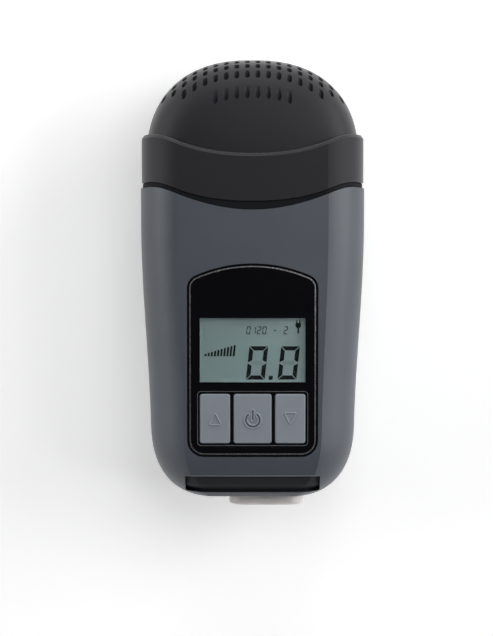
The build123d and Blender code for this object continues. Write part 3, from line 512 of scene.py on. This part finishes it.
def keypad_lip():
    """Thin raised line round the three keys, in a lighter grey that is a painted highlight on the
    tray's edge.
    """
    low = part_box("up_key")[0]
    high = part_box("down_key")[1]
    corners = rectangle(low.x - lip_side, low.y + lip_end, high.x + lip_side, high.y - lip_end)
    lip = beads("keypad_lip", [rounded_polygon(corners, lip_corner)], high.z - lip_drop, lip_line,
                painted_highlight_grey, "housing")


keypad_lip()


# ---------------------------------------------------------------- slot edge
edge_line = 0.25 * mm
edge_inside = 0.15 * mm         # from the latch plate's upper end, within the slot
edge_steps = 24


def slot_edge():
    """Thin rounded line along the upper wall of the latch's slot, level with the shell, in a lighter
    grey that is a painted highlight on the slot's rounded edge.
    """
    low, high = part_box("latch_plate")
    bpy.context.view_layer.update()
    data = bpy.data.curves.new("slot_edge", "CURVE")
    data.dimensions = "3D"
    data.bevel_depth = edge_line
    data.use_fill_caps = True
    # lighter grey: painted highlight
    data.materials.append(painted_highlight_grey)
    line = data.splines.new("POLY")
    line.points.add(edge_steps)
    for step, point in enumerate(line.points):
        x = low.x + (high.x - low.x) * step / edge_steps
        above = Vector((x, high.y + 2 * edge_line, 2 * high.z))
        level = nodes["front_shell"].ray_cast(above, Vector((0, 0, -1)))[1].z
        point.co = (x, high.y - edge_inside, level - edge_line, 1.0)
    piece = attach(link("slot_edge", data), "housing")


slot_edge()


# ---------------------------------------------------------------- display content
window_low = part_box("display_lens")[0]      # the places below are measured from this corner
content_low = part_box("lcd_glass")[1].z
content_depth = 0.02 * mm
slant = 0.11                    # lean to the right for each length upwards
big_digit = dict(low=0.8 * mm, width=6.9 * mm, height=12.3 * mm, bar=1.55 * mm, gap=0.2 * mm)
big_lefts = (16.8 * mm, 28.4 * mm)
point_place = (25.1 * mm, 0.7 * mm)
point_size = 1.5 * mm
small_digit = dict(low=17.5 * mm, width=1.45 * mm, height=2.9 * mm, bar=0.33 * mm, gap=0.06 * mm)
small_reading = "0120 - 2"
small_left = 16.9 * mm
small_pitch = 1.95 * mm
gauge_place = (1.6 * mm, 9.4 * mm)
gauge_bars = 10
gauge_pitch = 1.15 * mm
gauge_width = 0.75 * mm
gauge_first = 0.9 * mm          # the first bar's height
gauge_step = 0.36 * mm
plug_place = (36.0 * mm, 17.8 * mm)
plug_parts = (                  # half the width at the low and the high end, start, end and shift
    (0.28 * mm, 0.28 * mm, 0.0, 1.9 * mm, 0.0),
    (0.35 * mm, 1.0 * mm, 1.9 * mm, 2.6 * mm, 0.0),
    (1.0 * mm, 1.0 * mm, 2.6 * mm, 3.9 * mm, 0.0),
    (0.2 * mm, 0.2 * mm, 3.9 * mm, 5.0 * mm, -0.55 * mm),
    (0.2 * mm, 0.2 * mm, 3.9 * mm, 5.0 * mm, 0.55 * mm),
)
lit_segments = {"0": "abcdef", "1": "bc", "2": "abged", "-": "g"}
ink = moulded("display_ink", screen(5, 9, 10), 0.7, specular=0.1)
ghost = moulded("display_ghost", screen(98, 110, 111), 0.5)


def segments(width, height, bar, gap):
    """Outlines of the seven segments of a digit, by letter, with its low left corner at 0, 0."""
    middle = height / 2
    half = bar / 2
    return {
        "a": [(gap, height), (bar + gap, height - bar), (width - bar - gap, height - bar),
              (width - gap, height)],
        "b": [(width, height - gap), (width - bar, height - bar - gap),
              (width - bar, middle + half + gap), (width, middle + gap)],
        "c": [(width, middle - gap), (width - bar, middle - half - gap),
              (width - bar, bar + gap), (width, gap)],
        "d": [(gap, 0), (width - gap, 0), (width - bar - gap, bar), (bar + gap, bar)],
        "e": [(0, gap), (bar, bar + gap), (bar, middle - half - gap), (0, middle - gap)],
        "f": [(0, middle + gap), (bar, middle + half + gap), (bar, height - bar - gap),
              (0, height - gap)],
        "g": [(gap + half, middle), (gap + bar, middle - half), (width - gap - bar, middle - half),
              (width - gap - half, middle), (width - gap - bar, middle + half),
              (gap + bar, middle + half)],
    }


def on_window(points, left, low):
    """Outline moved to a place on the window, and slanted."""
    return [(window_low.x + left + x + slant * y, window_low.y + low + y) for x, y in points]


def digit(letters, left, low, width, height, bar, gap):
    """Outlines of some segments of one digit at a place on the window."""
    outlines = segments(width, height, bar, gap)
    return [on_window(outlines[letter], left, low) for letter in letters]


def gauge_outlines():
    """Row of upright bars that grow towards the right."""
    left, low = gauge_place
    return [
        on_window(rectangle(0, 0, gauge_width, gauge_first + gauge_step * number),
                  left + gauge_pitch * number, low)
        for number in range(gauge_bars)
    ]


def plug_outlines():
    """Small mains plug, upright: its lead, shoulder, body and two pins."""
    middle, low = plug_place
    outlines = []
    for half_low, half_high, start, end, shift in plug_parts:
        corners = ((-half_low, start), (half_low, start), (half_high, end), (-half_high, end))
        outlines.append([(window_low.x + middle + shift + x, window_low.y + low + y)
                         for x, y in corners])
    return outlines


def display_content():
    """Big reading at the lower right, small digits above it, a bar gauge and a plug."""
    dark = []
    faint = []
    for left in big_lefts:
        dark += digit(lit_segments["0"], left, **big_digit)
        faint += digit("g", left, **big_digit)
    dark.append(on_window(rectangle(0, 0, point_size, point_size), *point_place))
    for number, sign in enumerate(small_reading):
        if sign != " ":
            dark += digit(lit_segments[sign], small_left + small_pitch * number, **small_digit)
    dark += gauge_outlines() + plug_outlines()
    for name, outlines, finish in (("display_segments", dark, ink),
                                   ("display_unlit_segments", faint, ghost)):
        plates(name, outlines, content_low, content_depth, finish, "housing")


display_content()


# ---------------------------------------------------------------- vented dome
dome_wall = 2.0 * mm
dome_width_powers = (2.2, 0.42)     # of the curves by which it grows from its top to its skirt
dome_depth_powers = (2.65, 0.377)
dome_top_reach = 0.57           # how far the outline's handles reach towards its box's corners:
dome_skirt_reach = 0.85         # 0.55 makes an ellipse, and more makes it squarer
dome_tip = 0.05                 # square root of the share where the first ring closes the top
dome_rings = 48
quarter_steps = 20
vent_pitch = 3.86 * mm
vent_width = 1.9 * mm
vent_rows = (                   # each row's distance from the middle, its vents' length and number
    (0.0, 2.7 * mm, 18), (3.78 * mm, 2.7 * mm, 18), (7.56 * mm, 2.7 * mm, 18),
    (11.34 * mm, 2.7 * mm, 16), (15.12 * mm, 2.7 * mm, 14), (19.28 * mm, 1.95 * mm, 8),
)
vent_start = 5.0 * mm           # above the skirt, inside the dome
vent_end_steps = 8
sliver = 0.002 * mm             # edges up to this length are dissolved after the cut
crease_angle = 30.0             # in degrees; sharper edges are shaded as edges


def growth(share, powers):
    """Part of its full width or depth that the dome has at a share of its height below its top."""
    return (1 - (1 - share) ** powers[0]) ** powers[1]


def dome_ring(share, inset):
    """Points round the dome at a share of its height below its top, drawn in by inset."""
    low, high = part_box("cap_dome")
    middle = (low + high) / 2
    size = (high - low) / 2
    width = (size.x - inset) * growth(share, dome_width_powers)
    depth = (size.z - inset) * growth(share, dome_depth_powers)
    reach = dome_top_reach + (dome_skirt_reach - dome_top_reach) * share ** 0.5
    height = (high.y - low.y - inset) * (1 - share) / (1 - dome_tip ** 2)
    quarter = []                # a cubic curve from the +X side towards the +Z side
    for step in range(quarter_steps):
        on = step / quarter_steps
        left = 1 - on
        side = left ** 3 + 3 * left ** 2 * on + 3 * left * on ** 2 * reach
        rise = 3 * left ** 2 * on * reach + 3 * left * on ** 2 + on ** 3
        quarter.append((side * width, rise * depth))
    sides = quarter + [(0.0, depth)] + [(-x, z) for x, z in quarter[:0:-1]]
    outline = sides + [(-x, -z) for x, z in sides]
    return [(middle.x + x, low.y + height, middle.z + z) for x, z in outline]


def dome_shell():
    """Closed mesh of the dome before its vents are cut."""
    mesh = bmesh.new()
    skins = []
    for inset in (0.0, dome_wall):
        skin = []
        for number in range(dome_rings + 1):
            share = (dome_tip + (1 - dome_tip) * number / dome_rings) ** 2
            skin.append([mesh.verts.new(point) for point in dome_ring(share, inset)])
        skins.append(skin)
    outer, inner = skins
    mesh.faces.new(outer[0])
    mesh.faces.new(inner[0])
    for skin in (outer, inner, [outer[-1], inner[-1]]):
        for one, two in zip(skin, skin[1:]):
            for number in range(len(one)):
                mesh.faces.new((one[number - 1], one[number], two[number], two[number - 1]))
    bmesh.ops.recalc_face_normals(mesh, faces=mesh.faces)
    return mesh


def vent_cutters():
    """Closed mesh of one long round-ended prism for each vent, along Y."""
    low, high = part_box("cap_dome")
    middle = (low + high) / 2
    mesh = bmesh.new()
    for offset, length, count in vent_rows:
        shift = (length - vent_width) / 2
        outline = arc((0, shift), vent_width / 2, 0, 180, vent_end_steps)
        outline += arc((0, -shift), vent_width / 2, 180, 360, vent_end_steps)
        for way in (1, -1) if offset else (1,):
            for number in range(count):
                x = middle.x + (number - (count - 1) / 2) * vent_pitch
                z = middle.z + offset * way
                base = [(x + dx, low.y + vent_start, z + dz) for dx, dz in outline]
                prism(mesh, base, (0, high.y - low.y, 0))
    bmesh.ops.recalc_face_normals(mesh, faces=mesh.faces)
    return mesh


def vented_dome():
    """The cap's dome with its grille of round-ended vents cut right through the wall."""
    dome = mesh_object("dome", dome_shell())
    vents = mesh_object("vents", vent_cutters())
    change = dome.modifiers.new("vents", "BOOLEAN")
    change.object = vents
    change.solver = "EXACT"
    bpy.context.view_layer.update()
    ready = dome.evaluated_get(bpy.context.evaluated_depsgraph_get())
    mesh = bmesh.new()
    mesh.from_mesh(ready.data)
    bpy.data.objects.remove(vents)
    bpy.data.objects.remove(dome)
    bmesh.ops.dissolve_degenerate(mesh, edges=mesh.edges, dist=sliver)
    for face in mesh.faces:
        face.smooth = True
    piece = new_piece("cap_dome_vented", mesh, finishes["cap_charcoal"], "cap")
    piece.data.set_sharp_from_angle(angle=math.radians(crease_angle))
    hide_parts("cap_dome")


vented_dome()


# ---------------------------------------------------------------- floor and background
white = screen(255, 255, 255)
floor_half = 30.0
floor_lift = 0.35               # what lifts the floor to white where it shows
dim_light = 0.08                # the background's own light on the machine
backdrop_levels = (1.0, 0.05)   # its brightness where it shows, low down and high up
backdrop_fall = (0.25, 0.75)    # heights between which that falls: 0 is level, 1 straight up


def seen_directly(tree):
    """1 for the rays that show a background: from the camera, off gloss and through glass."""
    path = add_node(tree, "ShaderNodeLightPath")
    level = path.outputs["Is Camera Ray"]
    for ray in ("Is Glossy Ray", "Is Transmission Ray"):
        level = add_node(tree, "ShaderNodeMath", {0: level, 1: path.outputs[ray]},
                         operation="MAXIMUM").outputs["Value"]
    return level


def floor_finish():
    """Matte white that is lifted to full white where it shows, and still takes the shadow."""
    material = moulded("floor", screen(250, 250, 250), 0.9, grain=3 * mm, depth=0.01 * mm,
                       mottle=0.004, specular=0.1)
    tree = material.node_tree
    matte = tree.nodes["Principled BSDF"].outputs["BSDF"]
    lift = add_node(tree, "ShaderNodeEmission", {"Color": white, "Strength": floor_lift})
    lifted = add_node(tree, "ShaderNodeAddShader", {0: matte, 1: lift.outputs["Emission"]})
    show(tree, mix_shaders(tree, seen_directly(tree), matte, lifted.outputs["Shader"]))
    return material


def floor():
    """Wide pale floor that keeps the machine's shadow."""
    mesh = bmesh.new()
    corners = rectangle(-floor_half, -floor_half, floor_half, floor_half)
    mesh.faces.new([mesh.verts.new((x, y, 0)) for x, y in corners])
    piece = mesh_object("floor", mesh)
    piece.data.materials.append(floor_finish())


def world():
    """White background all round, dark straight above, and a dim even light on the machine."""
    made = bpy.data.worlds.new("studio")
    bpy.context.scene.world = made
    made.use_nodes = True
    tree = made.node_tree
    tree.nodes.clear()
    place = add_node(tree, "ShaderNodeTexCoord").outputs["Generated"]
    height = add_node(tree, "ShaderNodeSeparateXYZ", {"Vector": place}).outputs["Z"]
    level = spread(tree, height, *backdrop_levels, *backdrop_fall)
    dim = add_node(tree, "ShaderNodeBackground", {"Color": white, "Strength": dim_light})
    backdrop = add_node(tree, "ShaderNodeBackground", {"Color": white, "Strength": level})
    mixed = mix_shaders(tree, seen_directly(tree), dim.outputs["Background"],
                        backdrop.outputs["Background"])
    add_node(tree, "ShaderNodeOutputWorld", {"Surface": mixed})


# ---------------------------------------------------------------- lamps and camera
camera_tip = 5.0                # degrees from straight above, towards the cap
camera_distance = 0.9
camera_aim = (-2.25 * mm, -13.6 * mm, 26.15 * mm)
camera_lens = 135.5             # this and the sensor's width below are in millimetres
camera_sensor = 36.0


def lamp(name, kind, azimuth, elevation, energy, distance=0.0):
    """Lamp at an azimuth from +X towards +Y and an elevation, in degrees, aimed at the origin."""
    turn = math.radians(azimuth)
    rise = math.radians(elevation)
    towards = Vector((math.cos(turn) * math.cos(rise), math.sin(turn) * math.cos(rise),
                      math.sin(rise)))
    data = bpy.data.lights.new(name, kind)
    data.energy = energy
    holder = link(name, data)
    holder.location = towards * distance
    holder.rotation_mode = "QUATERNION"
    holder.rotation_quaternion = towards.to_track_quat("Z", "Y")
    return data


def sun(name, azimuth, elevation, width, strength):
    """Soft distant lamp that looks so many degrees wide."""
    lamp(name, "SUN", azimuth, elevation, strength).angle = math.radians(width)


def softbox(name, azimuth, elevation, distance, width, strength):
    """Soft square lamp near the machine, as strong there as a sun of that strength."""
    energy = strength * math.pi * distance ** 2
    lamp(name, "AREA", azimuth, elevation, energy, distance).size = width


def camera():
    """Long lens nearly straight above the display, tipped a little towards the cap."""
    tip = math.radians(camera_tip)
    back = Vector((0.0, math.sin(tip), math.cos(tip)))
    across = Vector((1.0, 0.0, 0.0))
    turn = Matrix((across, back.cross(across), back)).transposed().to_4x4()
    data = bpy.data.cameras.new("camera")
    data.lens = camera_lens
    data.sensor_width = camera_sensor
    holder = link("camera", data)
    holder.matrix_world = Matrix.Translation(Vector(camera_aim) + back * camera_distance) @ turn
    bpy.context.scene.camera = holder


floor()
softbox("key_lamp", azimuth=58, elevation=64, distance=0.45, width=0.3, strength=0.85)
sun("cap_lamp", azimuth=90, elevation=16, width=40, strength=0.95)
sun("tail_lamp", azimuth=275, elevation=12, width=40, strength=0.4)
sun("left_lamp", azimuth=160, elevation=13, width=46, strength=1.6)
sun("right_lamp", azimuth=20, elevation=15, width=46, strength=2.5)
sun("right_strip", azimuth=-4, elevation=42, width=10, strength=0.3)
world()
camera()
bpy.context.scene.view_settings.view_transform = "Standard"
